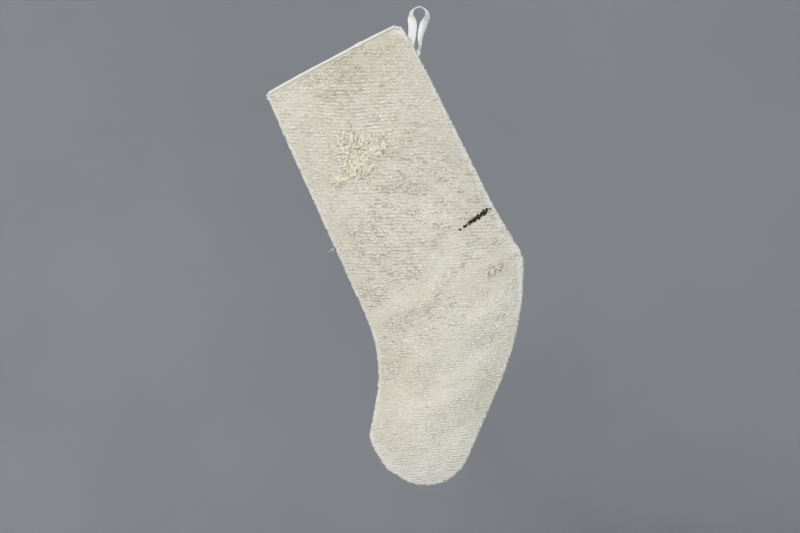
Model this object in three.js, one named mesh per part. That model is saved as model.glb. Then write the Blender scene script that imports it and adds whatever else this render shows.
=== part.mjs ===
// A hanging Christmas stocking: a rug-wool front and a cotton back sewn round a white lining,
// with a rolled cotton edge at the mouth and a tape loop that it hangs by.
//
// Frame: millimetres, +Z up, +X towards the heel side, and the front looks along -Y.
// The origin is the hang point, on the inside of the loop's crown.
//
// The stocking itself is drawn as it was cut, in its own plane: "across" runs along the mouth from
// the toe side to the heel side, "down" runs down the leg, and height comes towards the viewer.
// Height 0 is the plane of the side seam.

import * as THREE from 'three';
import { mergeVertices } from 'three/addons/utils/BufferGeometryUtils.js';

// ---------- driving dimensions ----------

const LEAN = THREE.MathUtils.degToRad(27.9);          // the mouth's tilt as the stocking hangs
const MOUTH_CORNER = new THREE.Vector3(-161.5, 0, -93.3); // toe-side corner of the mouth

const MOUTH_WIDTH = 156.2;
const RUG = 3.0;              // thickness of the wool front
const CANVAS = 1.2;           // thickness of the cotton back
const LINING = 0.8;
const TAPE = 1.0;             // thickness of the loop tape, and of the seam allowance it is sewn into
const GAP = 0.3;              // clearance between touching pieces

const CROWN = 16;             // how far the front stands out over the leg and the foot
const MOUTH_CROWN = 10;       // and at the mouth
const CROWN_REACH = 70;       // distance from the seam at which the front is fully out
const MOUTH_REACH = 150;      // distance down the leg over which the mouth's crown grows to the leg's

const LINING_INSET = 10.5;    // from the seam to the lining's edge
const SEAM_INSET = 1.5;       // from the seam to the outer edge of the allowance
const SEAM_WIDTH = 5;
const SEAM_START = 0.004;     // shares of the outline's length between which the allowance runs
const SEAM_END = 0.952;
const BINDING_HEIGHT = 3.2;
const BINDING_PROUD = 0.4;    // how far the binding stands over the cloth that it wraps
const BINDING_END = 8;        // length of each end of the mouth that is closed by the seam
const LAP_AT = 111;           // where the binding's two ends lap, across from the toe-side corner
const LAP_LENGTH = 9;
const LAP_PROUD = 0.8;
const STITCH_DROP = 2.4;      // from the mouth's edge to the row of binding stitches
const STITCH_RADIUS = 0.45;
const STITCH_INSET = 4;       // from each end of the mouth to the end of the row
const STITCH_CLEARANCE = 0.1; // on top of the gap, as the row runs straight between its points

// Patches of pile on the front: place, radius, height, and the lobes of the rim.
const ROSETTE = { across: 48, down: 98, radius: 31, height: 7, lobes: 5 };
const HEEL_TUFT = { across: 126, down: 276, radius: 9, height: 3, lobes: 3 };
const PILE_RIM = 0.6;         // thickness of a patch at its rim
const PILE_WAVE = 0.1;        // share of the radius that the lobes stand out and in

const YARN_START = new THREE.Vector2(113.6, -221.7);   // the darned line's ends, across and up
const YARN_END = new THREE.Vector2(152, -218);
const YARN_THICKNESS = 1.6;
const YARN_END_HALF = 0.9;    // half of the line's width at its ends
const YARN_SWELL = 1.5;       // and what the middle has on top of that
const YARN_CREST = 0.6;       // width of its upper side, as a share of its foot's
const YARN_CLEARANCE = 0.1;

const TAPE_WIDTH = 9.5;
const LOOP_RADIUS = 9.1;      // of the crown, at the middle of the tape
const TWIST_TOP = -LOOP_RADIUS + TAPE / 2;             // height where the tape starts to twist
const LEFT_LEG_X = -5.95;     // the legs' middles where they face the viewer
const RIGHT_LEG_X = 4.85;
const CROWN_END = -17.4;      // heights of the loop's bending lines
const UPPER_TOP = -18.6;
const UPPER_END = -25.7;
const LOWER_TOP = -26;
const ROOT = new THREE.Vector2(-5, -44);               // x and z of the pivot at the loop's root
// Where the edges of each lower leg meet the root, in radians from straight up, clockwise.
const LEFT_LEG_ARC = [-0.66, 0.38];
const RIGHT_LEG_ARC = [0.5, 1.24];
const ROOT_RADIUS = 9;        // of the sewn root that the legs turn about
const TAIL_WIDTH = 16;        // of the tape ends inside the seam
const TAIL_LENGTH = 6.5;

// The cut outline, from the toe-side mouth corner round the toe to the heel-side mouth corner:
// [across, down, corner radius].
const OUTLINE = [
  [-1, 0, 0],
  [-19.6, 305, 150],          // instep
  [-74.8, 373.6, 14],         // top of the toe
  [-74.2, 408.6, 12],
  [-35.3, 474, 47],           // toe
  [124.3, 345.5, 310],        // sole
  [159.8, 278, 22],           // heel
  [155.9, 222, 400],
  [161.4, 18, 10],
  [MOUTH_WIDTH, 0, 0],
];
const TOE_SHARE = 0.487;      // share of the outline's length at which the toe's tip lies

// ---------- materials ----------

const RUG_WOOL = { color: 0xcfc8b6, roughness: 0.95 };
const BACK_CANVAS = { color: 0xdcd5c4, roughness: 0.9 };
const COTTON = { color: 0xe9e7e2, roughness: 0.85 };
const PILE_WOOL = { color: 0xd8cda8, roughness: 1 };
const BROWN_WOOL = { color: 0x2e2318, roughness: 0.95 };

// ---------- the outline and its insets ----------

// Corners of the outline moved inwards by an even distance. The two ends stay on the mouth's line.
function insetCorners(inset) {
  const points = OUTLINE.map(([across, down]) => new THREE.Vector2(across, -down));
  const edges = points.slice(1).map((end, i) => {
    const along = end.clone().sub(points[i]).normalize();
    const inwards = new THREE.Vector2(-along.y, along.x);
    return { start: points[i].clone().addScaledVector(inwards, inset), along };
  });
  const mouth = { start: new THREE.Vector2(0, 0), along: new THREE.Vector2(1, 0) };
  return OUTLINE.map(([, , radius], i) => {
    const before = i === 0 ? mouth : edges[i - 1];
    const after = i === edges.length ? mouth : edges[i];
    const offset = after.start.clone().sub(before.start);
    const reach = offset.cross(after.along) / before.along.cross(after.along);
    const point = before.start.clone().addScaledVector(before.along, reach);
    const convex = before.along.cross(after.along) > 0;
    return { point, radius: Math.max(radius + (convex ? -inset : inset), 1) };
  });
}

// An open path of straight lines through those corners, each corner rounded by an arc.
function seamPath(inset) {
  const corners = insetCorners(inset);
  const path = new THREE.Path();
  path.moveTo(corners[0].point.x, corners[0].point.y);
  for (let i = 1; i < corners.length - 1; i += 1) {
    const { point, radius } = corners[i];
    const back = corners[i - 1].point.clone().sub(point).normalize();
    const on = corners[i + 1].point.clone().sub(point).normalize();
    const half = Math.acos(back.dot(on)) / 2;
    const start = point.clone().addScaledVector(back, radius / Math.tan(half));
    const end = point.clone().addScaledVector(on, radius / Math.tan(half));
    const middle = back.clone().add(on).normalize();
    const centre = point.clone().addScaledVector(middle, radius / Math.sin(half));
    const clockwise = back.cross(on) > 0;
    path.lineTo(start.x, start.y);
    path.absarc(
      centre.x, centre.y, radius,
      start.clone().sub(centre).angle(), end.clone().sub(centre).angle(), clockwise,
    );
  }
  const last = corners[corners.length - 1].point;
  path.lineTo(last.x, last.y);
  return path;
}

// Evenly spaced points on the outline's inset, between two shares of its length.
function seamPoints(inset, from, to, steps) {
  const path = seamPath(inset);
  const points = [];
  for (let i = 0; i <= steps; i += 1) {
    points.push(path.getPoint(THREE.MathUtils.lerp(from, to, i / steps)));
  }
  return points;
}

const SEAM_SAMPLES = seamPoints(0, 0, 1, 400);

// How far the front's inner side stands out over the seam at a point of the stocking's plane.
function crownAt(point) {
  const toSeam = Math.min(...SEAM_SAMPLES.map((sample) => sample.distanceTo(point)));
  const near = Math.min(toSeam / CROWN_REACH, 1);
  const grown = THREE.MathUtils.smoothstep(-point.y, 0, MOUTH_REACH);
  return THREE.MathUtils.lerp(MOUTH_CROWN, CROWN, grown) * near * (2 - near);
}

// ---------- geometry helpers ----------

function closedGeometry(positions, indices) {
  const geometry = new THREE.BufferGeometry();
  geometry.setAttribute('position', new THREE.Float32BufferAttribute(positions, 3));
  geometry.setIndex(indices);
  return mergeVertices(geometry);
}

// A closed sheet over the whole stocking, lofted from stations between the two seams, from the
// mouth to the toe's tip. nearHeight and farHeight give its two faces at a point.
function loftedSheet(inset, nearHeight, farHeight, stations = 30, steps = 12) {
  const path = seamPath(inset);
  const positions = [];
  const perFace = stations * (steps + 1) + 1;
  for (const height of [nearHeight, farHeight]) {
    for (let station = 0; station <= stations; station += 1) {
      const share = station / stations;
      const toeSide = path.getPoint(share * TOE_SHARE);
      const heelSide = path.getPoint(1 - share * (1 - TOE_SHARE));
      const across = station === stations ? 0 : steps;
      for (let step = 0; step <= across; step += 1) {
        const point = toeSide.clone().lerp(heelSide, step / steps);
        positions.push(point.x, point.y, height(point));
      }
    }
  }
  const vertex = (face, station, step) => (
    face * perFace + station * (steps + 1) + (station === stations ? 0 : step)
  );
  const indices = [];
  const quad = (a, b, c, d) => {
    for (const triangle of [[a, b, c], [a, c, d]]) {
      if (new Set(triangle).size === 3) indices.push(...triangle);
    }
  };
  for (let i = 0; i < stations; i += 1) {
    for (let j = 0; j < steps; j += 1) {
      quad(vertex(0, i, j), vertex(0, i + 1, j), vertex(0, i + 1, j + 1), vertex(0, i, j + 1));
      quad(vertex(1, i, j), vertex(1, i, j + 1), vertex(1, i + 1, j + 1), vertex(1, i + 1, j));
    }
    quad(vertex(0, i, 0), vertex(1, i, 0), vertex(1, i + 1, 0), vertex(0, i + 1, 0));
    quad(vertex(0, i, steps), vertex(0, i + 1, steps), vertex(1, i + 1, steps), vertex(1, i, steps));
  }
  for (let j = 0; j < steps; j += 1) {
    quad(vertex(0, 0, j), vertex(0, 0, j + 1), vertex(1, 0, j + 1), vertex(1, 0, j));
  }
  return closedGeometry(positions, indices);
}

// A flat plate from its outline, standing between two heights.
function plate(outline, bottom, top) {
  const geometry = new THREE.ExtrudeGeometry(new THREE.Shape(outline), {
    depth: top - bottom,
    bevelEnabled: false,
    curveSegments: 16,
  });
  return geometry.translate(0, 0, bottom);
}

// A tape of even width and thickness. Each section has its middle and the direction of its width.
function tape(sections) {
  const positions = [];
  sections.forEach(({ middle, width }, i) => {
    const before = sections[Math.max(i - 1, 0)].middle;
    const after = sections[Math.min(i + 1, sections.length - 1)].middle;
    const thick = after.clone().sub(before).cross(width).normalize();
    for (const [w, t] of [[-1, -1], [1, -1], [1, 1], [-1, 1]]) {
      const corner = middle.clone();
      corner.addScaledVector(width, (w * TAPE_WIDTH) / 2);
      corner.addScaledVector(thick, (t * TAPE) / 2);
      positions.push(corner.x, corner.y, corner.z);
    }
  });
  const indices = [];
  for (let i = 0; i < sections.length - 1; i += 1) {
    for (let side = 0; side < 4; side += 1) {
      const a = 4 * i + side;
      const b = 4 * i + ((side + 1) % 4);
      indices.push(a, b, b + 4, a, b + 4, a + 4);
    }
  }
  const end = 4 * (sections.length - 1);
  indices.push(0, 2, 1, 0, 3, 2);
  indices.push(end, end + 1, end + 2, end, end + 2, end + 3);
  return closedGeometry(positions, indices);
}

// ---------- the stocking's cloth ----------

const SEAM_TOP = TAPE / 2;    // the allowance and the tape ends fill heights -SEAM_TOP to SEAM_TOP

function frontPanel() {
  const inner = (point) => SEAM_TOP + GAP + crownAt(point);
  return loftedSheet(0, (point) => inner(point) + RUG, inner);
}

// The lining hangs a little way behind the front's inner side.
function liningFront() {
  return loftedSheet(LINING_INSET, crownAt, (point) => crownAt(point) - LINING);
}

function liningBack() {
  return plate(seamPoints(LINING_INSET, 0, 1, 90), -SEAM_TOP, LINING - SEAM_TOP);
}

function backPanel() {
  const top = -SEAM_TOP - GAP;
  return plate(seamPoints(0, 0, 1, 120), top - CANVAS, top);
}

// The turned-in seam allowance, all round from the mouth's toe side to just under the loop.
function sideSeam() {
  const outer = seamPoints(SEAM_INSET, SEAM_START, SEAM_END, 100);
  const inner = seamPoints(SEAM_INSET + SEAM_WIDTH, SEAM_START, SEAM_END, 100).reverse();
  return plate([...outer, ...inner], -SEAM_TOP, SEAM_TOP);
}

// ---------- the mouth's edge ----------

// Points along the mouth's near side, at a height over the front lining's outer face.
function nearRun(from, to, above, steps = 10) {
  const run = [];
  for (let i = 0; i <= steps; i += 1) {
    const across = THREE.MathUtils.lerp(from, to, i / steps);
    run.push(new THREE.Vector2(across, crownAt(new THREE.Vector2(across, 0)) + above));
  }
  return run;
}

const ON_RUG = SEAM_TOP + GAP + RUG + GAP;             // over the crown, for what lies on the front
const OVER_RUG = SEAM_TOP + GAP + RUG + BINDING_PROUD;
const UNDER_LINING = -LINING - BINDING_PROUD;

// A strip of binding from its section in the mouth's plane, standing on the cloth's edge.
function bindingStrip(section, height) {
  const geometry = new THREE.ExtrudeGeometry(new THREE.Shape(section), {
    depth: height,
    bevelEnabled: false,
  });
  return geometry.rotateX(Math.PI / 2).translate(0, GAP + height, 0);
}

// One strip that starts at the lap, goes round both ends of the mouth and comes back to the lap.
function mouthBinding() {
  const far = -SEAM_TOP - GAP - CANVAS;
  const farInner = LINING - SEAM_TOP + BINDING_PROUD;
  const lapStart = LAP_AT - LAP_LENGTH / 2;
  const lapEnd = LAP_AT + LAP_LENGTH / 2;
  const section = [
    ...nearRun(lapEnd + GAP, MOUTH_WIDTH, OVER_RUG),
    new THREE.Vector2(MOUTH_WIDTH, far),
    new THREE.Vector2(-1, far),
    ...nearRun(-1, lapStart - GAP, OVER_RUG),
    ...nearRun(BINDING_END, lapStart - GAP, UNDER_LINING).reverse(),
    new THREE.Vector2(BINDING_END, farInner),
    new THREE.Vector2(MOUTH_WIDTH - BINDING_END, farInner),
    ...nearRun(lapEnd + GAP, MOUTH_WIDTH - BINDING_END, UNDER_LINING).reverse(),
  ];
  return bindingStrip(section, BINDING_HEIGHT);
}

function bindingLap() {
  const from = LAP_AT - LAP_LENGTH / 2;
  const to = LAP_AT + LAP_LENGTH / 2;
  const section = [
    ...nearRun(from, to, OVER_RUG + LAP_PROUD / 2, 3),
    ...nearRun(from, to, UNDER_LINING - LAP_PROUD / 2, 3).reverse(),
  ];
  return bindingStrip(section, BINDING_HEIGHT + LAP_PROUD);
}

function bindingStitch() {
  const spans = 12;
  const onRug = ON_RUG + STITCH_RADIUS + STITCH_CLEARANCE;
  const points = [];
  for (let i = 0; i <= spans; i += 1) {
    const across = THREE.MathUtils.lerp(STITCH_INSET, MOUTH_WIDTH - STITCH_INSET, i / spans);
    const height = crownAt(new THREE.Vector2(across, -STITCH_DROP));
    points.push(new THREE.Vector3(across, -STITCH_DROP, onRug + height));
  }
  const section = new THREE.Shape();
  section.absarc(0, 0, STITCH_RADIUS, 0, 2 * Math.PI);
  return new THREE.ExtrudeGeometry(section, {
    steps: 3 * spans,
    curveSegments: 4,
    extrudePath: new THREE.CatmullRomCurve3(points),
  });
}

// ---------- pile and yarn on the front ----------

// A low dome with a wavy rim, resting on the front at a place in the stocking's plane.
function pilePatch({ across, down, radius, height, lobes }) {
  const rings = 5;
  const sides = 24;
  const onRug = (x, y) => crownAt(new THREE.Vector2(across + x, -down + y)) + ON_RUG;
  const positions = [0, 0, onRug(0, 0) + height, 0, 0, onRug(0, 0)];
  for (let ring = 1; ring <= rings; ring += 1) {
    const share = ring / rings;
    for (let side = 0; side < sides; side += 1) {
      const angle = (2 * Math.PI * side) / sides;
      const reach = share * radius * (1 + PILE_WAVE * Math.cos(lobes * angle));
      const x = reach * Math.cos(angle);
      const y = reach * Math.sin(angle);
      const rise = THREE.MathUtils.lerp(height, PILE_RIM, share * share);
      positions.push(x, y, onRug(x, y) + rise, x, y, onRug(x, y));
    }
  }
  const vertex = (ring, side, face) => (
    ring === 0 ? face : 2 + 2 * ((ring - 1) * sides + (side % sides)) + face
  );
  const indices = [];
  for (let side = 0; side < sides; side += 1) {
    indices.push(vertex(0, 0, 0), vertex(1, side, 0), vertex(1, side + 1, 0));
    indices.push(vertex(0, 0, 1), vertex(1, side + 1, 1), vertex(1, side, 1));
    for (let ring = 1; ring < rings; ring += 1) {
      for (const face of [0, 1]) {
        const a = vertex(ring, side, face);
        const b = vertex(ring + 1, side, face);
        const c = vertex(ring + 1, side + 1, face);
        const d = vertex(ring, side + 1, face);
        if (face === 0) indices.push(a, b, c, a, c, d);
        else indices.push(a, c, b, a, d, c);
      }
    }
    const [a, b] = [vertex(rings, side, 0), vertex(rings, side + 1, 0)];
    indices.push(a, a + 1, b + 1, a, b + 1, b);
  }
  return closedGeometry(positions, indices).translate(across, -down, 0);
}

// The darned line: a yarn that lies on the front, thickest in its middle.
function brownYarn() {
  const sections = 12;
  const foot = ON_RUG + YARN_CLEARANCE;
  const profile = [[-1, 0], [1, 0], [YARN_CREST, YARN_THICKNESS], [-YARN_CREST, YARN_THICKNESS]];
  const positions = [];
  const indices = [];
  for (let i = 0; i <= sections; i += 1) {
    const point = YARN_START.clone().lerp(YARN_END, i / sections);
    const half = YARN_END_HALF + YARN_SWELL * Math.sin((Math.PI * i) / sections);
    for (const [side, rise] of profile) {
      const spot = new THREE.Vector2(point.x, point.y + side * half);
      positions.push(spot.x, spot.y, crownAt(spot) + foot + rise);
    }
  }
  for (let i = 0; i < sections; i += 1) {
    for (let side = 0; side < 4; side += 1) {
      const a = 4 * i + side;
      const b = 4 * i + ((side + 1) % 4);
      indices.push(a, b + 4, a + 4, a, b, b + 4);
    }
  }
  const end = 4 * sections;
  indices.push(0, 2, 1, 0, 3, 2);
  indices.push(end, end + 1, end + 2, end, end + 2, end + 3);
  return closedGeometry(positions, indices);
}

// ---------- the hanging loop ----------

// The crown: over the top with the tape's width along Y, then down each side as it twists to face
// the viewer at the first bending line.
function loopCrown() {
  const arcSteps = 16;
  const legSteps = 8;
  const leg = (side, legX) => {
    const sections = [];
    for (let i = 1; i <= legSteps; i += 1) {
      const share = i / legSteps;
      const turned = (THREE.MathUtils.smoothstep(share, 0, 1) * Math.PI) / 2;
      const x = THREE.MathUtils.lerp(side * LOOP_RADIUS, legX, THREE.MathUtils.smoothstep(share, 0, 1));
      const z = THREE.MathUtils.lerp(TWIST_TOP, CROWN_END, share);
      const width = new THREE.Vector3(side * Math.sin(turned), Math.cos(turned), 0);
      sections.push({ middle: new THREE.Vector3(x, 0, z), width });
    }
    return sections;
  };
  const arc = [];
  for (let i = 0; i <= arcSteps; i += 1) {
    const angle = Math.PI * (1 - i / arcSteps);
    const middle = new THREE.Vector3(
      LOOP_RADIUS * Math.cos(angle), 0, TWIST_TOP + LOOP_RADIUS * Math.sin(angle),
    );
    arc.push({ middle, width: new THREE.Vector3(0, 1, 0) });
  }
  return tape([...leg(-1, LEFT_LEG_X).reverse(), ...arc, ...leg(1, RIGHT_LEG_X)]);
}

function loopUpper(legX) {
  const length = UPPER_TOP - UPPER_END;
  const geometry = new THREE.BoxGeometry(TAPE_WIDTH, TAPE, length);
  return geometry.translate(legX, 0, UPPER_TOP - length / 2);
}

// A lower leg ends in a hollow arc that fits round the sewn root. topX is its middle at the top,
// and the two angles are where its edges meet the arc.
function loopLower(topX, [leftAngle, rightAngle]) {
  const radius = ROOT_RADIUS + GAP;
  const shape = new THREE.Shape();
  shape.moveTo(topX - TAPE_WIDTH / 2, LOWER_TOP);
  shape.lineTo(ROOT.x + radius * Math.sin(leftAngle), ROOT.y + radius * Math.cos(leftAngle));
  shape.absarc(
    ROOT.x, ROOT.y, radius, Math.PI / 2 - leftAngle, Math.PI / 2 - rightAngle, true,
  );
  shape.lineTo(topX + TAPE_WIDTH / 2, LOWER_TOP);
  shape.closePath();
  const geometry = new THREE.ExtrudeGeometry(shape, {
    depth: TAPE,
    bevelEnabled: false,
    curveSegments: 8,
  });
  return geometry.translate(0, 0, -TAPE / 2).rotateX(Math.PI / 2);
}

// The tape's two ends, sewn one on the other: round where they leave the seam, square inside it.
function loopTails() {
  const shape = new THREE.Shape();
  shape.moveTo(-TAIL_LENGTH, -TAIL_WIDTH / 2);
  shape.lineTo(0, -TAIL_WIDTH / 2);
  shape.lineTo(0, -ROOT_RADIUS);
  shape.absarc(0, 0, ROOT_RADIUS, -Math.PI / 2, Math.PI / 2, false);
  shape.lineTo(0, TAIL_WIDTH / 2);
  shape.lineTo(-TAIL_LENGTH, TAIL_WIDTH / 2);
  shape.closePath();
  const geometry = new THREE.ExtrudeGeometry(shape, {
    depth: TAPE,
    bevelEnabled: false,
    curveSegments: 12,
  });
  return geometry.translate(0, 0, -TAPE / 2);
}

// ---------- the assembly ----------

const part = new THREE.Group();

// Everything in the stocking's own plane: first tipped upright, then leaned, then hung.
const stocking = new THREE.Group();
stocking.position.copy(MOUTH_CORNER);
stocking.rotation.y = -LEAN;
const plane = new THREE.Group();
plane.rotation.x = Math.PI / 2;
stocking.add(plane);
part.add(stocking);

function addPiece(parent, name, geometry, look) {
  const mesh = new THREE.Mesh(geometry, new THREE.MeshStandardMaterial(look));
  mesh.name = name;
  parent.add(mesh);
  return mesh;
}

addPiece(plane, 'front_panel', frontPanel(), RUG_WOOL);
addPiece(plane, 'back_panel', backPanel(), BACK_CANVAS);
addPiece(plane, 'lining_front', liningFront(), COTTON);
addPiece(plane, 'lining_back', liningBack(), COTTON);
addPiece(plane, 'side_seam', sideSeam(), RUG_WOOL);
addPiece(plane, 'mouth_binding', mouthBinding(), COTTON);
addPiece(plane, 'binding_lap', bindingLap(), COTTON);
addPiece(plane, 'binding_stitch', bindingStitch(), COTTON);
addPiece(plane, 'pile_rosette', pilePatch(ROSETTE), PILE_WOOL);
addPiece(plane, 'heel_tuft', pilePatch(HEEL_TUFT), PILE_WOOL);
addPiece(plane, 'brown_yarn', brownYarn(), BROWN_WOOL);

// The sewn root lies on the seam at the pivot, so its middle is the pivot seen in the plane.
const tails = addPiece(plane, 'loop_tails', loopTails(), COTTON);
const fromCorner = new THREE.Vector2(ROOT.x - MOUTH_CORNER.x, ROOT.y - MOUTH_CORNER.z);
fromCorner.rotateAround(new THREE.Vector2(0, 0), -LEAN);
tails.position.set(fromCorner.x, fromCorner.y, 0);

addPiece(part, 'loop_crown', loopCrown(), COTTON);
addPiece(part, 'loop_upper_left', loopUpper(LEFT_LEG_X), COTTON);
addPiece(part, 'loop_upper_right', loopUpper(RIGHT_LEG_X), COTTON);
addPiece(part, 'loop_lower_left', loopLower(LEFT_LEG_X, LEFT_LEG_ARC), COTTON);
addPiece(part, 'loop_lower_right', loopLower(RIGHT_LEG_X, RIGHT_LEG_ARC), COTTON);

export default part;
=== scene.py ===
"""The looks of the hanging stocking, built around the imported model.

Lengths in this script are millimetres in the model's own frame; add_mesh turns them into metres.
The stocking hangs in the plane of X and Z, and its front looks along -Y. A "height" is how far a
point stands out of the seam's plane towards the viewer, so it is minus Y. A "level" is a Z.
"""

import math

import bmesh
import bpy
import numpy as np
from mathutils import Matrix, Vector, geometry


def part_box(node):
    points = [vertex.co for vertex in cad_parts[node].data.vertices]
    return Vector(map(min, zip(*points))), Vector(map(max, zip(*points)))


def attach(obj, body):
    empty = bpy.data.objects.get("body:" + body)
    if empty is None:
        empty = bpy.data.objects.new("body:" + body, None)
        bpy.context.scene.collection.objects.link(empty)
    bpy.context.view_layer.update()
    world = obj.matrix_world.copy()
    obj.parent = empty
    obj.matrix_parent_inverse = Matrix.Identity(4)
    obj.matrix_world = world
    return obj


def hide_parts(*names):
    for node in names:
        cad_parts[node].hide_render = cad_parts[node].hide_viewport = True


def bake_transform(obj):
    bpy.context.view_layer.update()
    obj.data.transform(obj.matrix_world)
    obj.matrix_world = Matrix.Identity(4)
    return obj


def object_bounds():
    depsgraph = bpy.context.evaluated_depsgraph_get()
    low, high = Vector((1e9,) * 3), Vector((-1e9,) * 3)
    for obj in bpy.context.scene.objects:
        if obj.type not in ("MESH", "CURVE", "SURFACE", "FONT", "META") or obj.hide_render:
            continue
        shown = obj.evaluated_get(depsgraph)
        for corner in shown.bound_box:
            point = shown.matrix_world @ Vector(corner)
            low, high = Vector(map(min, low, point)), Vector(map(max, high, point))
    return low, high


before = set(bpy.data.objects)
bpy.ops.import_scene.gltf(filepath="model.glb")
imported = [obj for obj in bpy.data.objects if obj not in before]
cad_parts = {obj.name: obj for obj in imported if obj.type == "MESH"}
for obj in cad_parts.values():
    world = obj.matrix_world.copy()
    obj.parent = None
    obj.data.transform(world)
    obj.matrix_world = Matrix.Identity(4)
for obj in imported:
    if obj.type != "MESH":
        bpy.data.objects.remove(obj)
cad_low, cad_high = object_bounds()

MM = 0.001

# ---------- driving dimensions, in millimetres ----------

RUG = 3.0                # thickness of the wool front
RUG_LIFT = 0.8           # from the seam's plane to the front's inner side, at the seam
CROWN_REACH = 60.0       # distance from the seam at which the front is fully out
MOUTH_CROWN = 0.62       # share of the crown that the front has at the mouth
MOUTH_REACH = 150.0
RIB_PITCH = (3.8, 2.85)  # of the weft ribs in the leg and in the foot
RIB_CHANGE = (-225, -320)  # levels between which the one pitch turns into the other
RIB_HEIGHT = 1.0
GRAIN = 5.2              # length of one bead of a rib
RUG_ROWS = 4.5           # rows of mesh points to a rib of the foot
RUG_COLUMNS = 185        # mesh points in each row
# Stains on the wool: across, down, half width, half length, strength.
STAINS = (
    (88, 22, 30, 17, 1.8), (136, 16, 16, 13, 0.8), (56, 32, 22, 13, 0.5), (40, 128, 26, 20, 0.2),
    (20, 285, 18, 7, 0.35), (-35, 408, 13, 9, 0.30), (-12, 436, 26, 7, 0.2), (100, 62, 34, 22, 0.4),
)
# Soft creases over the foot: where down, slope, width, height.
CREASES = (
    (180, -0.10, 20, -1.0), (222, 0.04, 16, 1.1), (268, 0.00, 11, 1.3), (292, 0.03, 11, -1.2),
    (322, 0.10, 9, 1.3), (345, 0.06, 8, -1.3), (377, 0.02, 7, 1.2), (404, 0.10, 8, -1.0),
)
CANVAS_TOP = -0.8        # height of the back's inner side
CANVAS = 1.2
LINING = 0.5
SEAM_INSET = 2.4         # from the outline in to the middle of the folded seam allowance
SEAM_HALF = 2.1          # half its width
BINDING = 0.6            # thickness of the binding's cotton
BINDING_RISE = 2.5       # the mouth's rolled edge stands this far over the cut edge
BINDING_DROP = 0.9       # and reaches this far down over the cloth
CORNER_RADIUS = 2.2      # of the binding's turn at each end of the mouth
BINDING_ENDS = (5.5, 13.0)  # how far it goes down the toe side and the heel side
LAP = (106.5, 115.5)     # where the binding's end lies on its start
STITCH_PITCH = 4.2
# The rosette's clumps, from the middle of its patch: x, z, half width, half height, locks.
ROSETTE_CLUMPS = (
    (8.5, 6.5, 25.0, 12.5, 290), (10.0, -13.0, 13.5, 8.0, 120), (-10.5, -25.0, 7.5, 4.5, 40),
)
ROSETTE_PARTING = (2.5, 2.0)
GOLDEN_ANGLE = 2.39996   # spreads the locks evenly over a clump
NUBS = 4600
EDGE_NUBS = 900          # of them along the silhouette
FUZZ = 4200
EDGE_FUZZ = 1100
# Pulled threads at the seam: x, z, heading in degrees, length.
LOOSE_ENDS = (
    (-90.5, -257.5, 168, 6.5), (-91.0, -256.0, 215, 4.0),
    (22.5, -502.5, -50, 7.5), (25.5, -500.0, -28, 5.0),
)
# The darning's stitches: share along it, angle in degrees, length, width.
YARN_STITCHES = (
    (0.02, 20, 1.8, 1.6), (0.15, 80, 3.2, 1.9), (0.22, 45, 3.6, 2.0), (0.30, 92, 4.2, 2.3),
    (0.38, 60, 4.6, 2.5), (0.46, 98, 5.2, 2.6), (0.54, 66, 5.0, 2.8), (0.62, 100, 5.8, 2.7),
    (0.70, 72, 5.4, 2.8), (0.78, 96, 6.0, 2.6), (0.86, 84, 6.4, 2.6), (0.99, 10, 2.2, 1.7),
)
TAPE_WIDTH = 9.2
TAPE = 0.9
LOOP_RADIUS = 9.1
CUTS = (-31.5, -22.0)    # levels where the tape's three pieces meet
TWILL = 0.9              # pitch of the tape's ribs
TAPE_THREADS = 0.7       # pitch of the threads in its plain edge
SELVEDGE = 0.44          # where its plain edge starts, as a share of the width
# Down each leg: level, x, y, turn of the tape to face the viewer, curl, depth kept.
LEFT_LEG = (
    (-8.6, -9.1, 0.0, 0.45, 0.10, 1.0), (-11.0, -8.7, 0.0, 0.85, 0.15, 1.0),
    (-13.0, -8.1, 0.0, 1.15, 0.25, 1.0), (-15.0, -7.6, 0.0, 1.35, 0.35, 0.9),
    (-17.4, -7.2, 0.0, 1.45, 0.50, 0.8), (-22.0, -7.0, -0.1, 1.50, 0.70, 0.6),
    (-26.0, -7.3, -0.1, 1.55, 0.85, 0.35), (-31.5, -7.9, -0.1, 1.57, 1.00, 0.22),
    (-37.0, -8.8, 0.0, 1.57, 1.20, 0.16), (-43.0, -9.6, 0.1, 1.57, 1.25, 0.15),
    (-51.0, -8.6, 0.3, 1.57, 1.20, 0.15),
)
RIGHT_LEG = (
    (-8.6, 9.1, 0.0, 0.45, 0.10, 1.0), (-11.0, 8.4, 0.0, 0.66, 0.15, 1.0),
    (-13.0, 7.2, 0.0, 0.88, 0.25, 1.0), (-15.0, 6.0, 0.0, 1.02, 0.35, 1.0),
    (-17.4, 5.0, 0.0, 1.14, 0.50, 1.0), (-22.0, 4.0, -0.2, 1.15, 0.80, 1.0),
    (-26.0, 3.3, -0.4, 1.00, 1.10, 0.9), (-31.5, 2.4, -0.6, 0.84, 1.40, 0.8),
    (-37.0, 2.2, -0.6, 0.50, 1.70, 0.6), (-41.0, 1.9, -0.4, 0.36, 1.85, 0.4),
    (-45.0, 0.2, -0.2, 0.62, 1.90, 0.22), (-48.5, -1.8, 0.0, 1.45, 1.80, 0.18),
    (-53.0, -3.8, 0.0, 1.57, 1.60, 0.16),
)

# ---------- studio ----------

CAMERA_LENS = 85
VIEW_WIDTH = 1.675       # of the picture, as a share of the model's height
CAMERA_SHIFT = (0.0066, -0.0225)  # of the camera from the model's middle, in metres
FLOOR_DROP = 760         # from the toe down to the floor
WALL_GREY = (0.438, 0.452, 0.482)
WALL_GREY_2 = (0.468, 0.482, 0.512)
FLOOR_GREY = (0.70, 0.705, 0.71)
WORLD_LIGHT = 0.29
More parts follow.
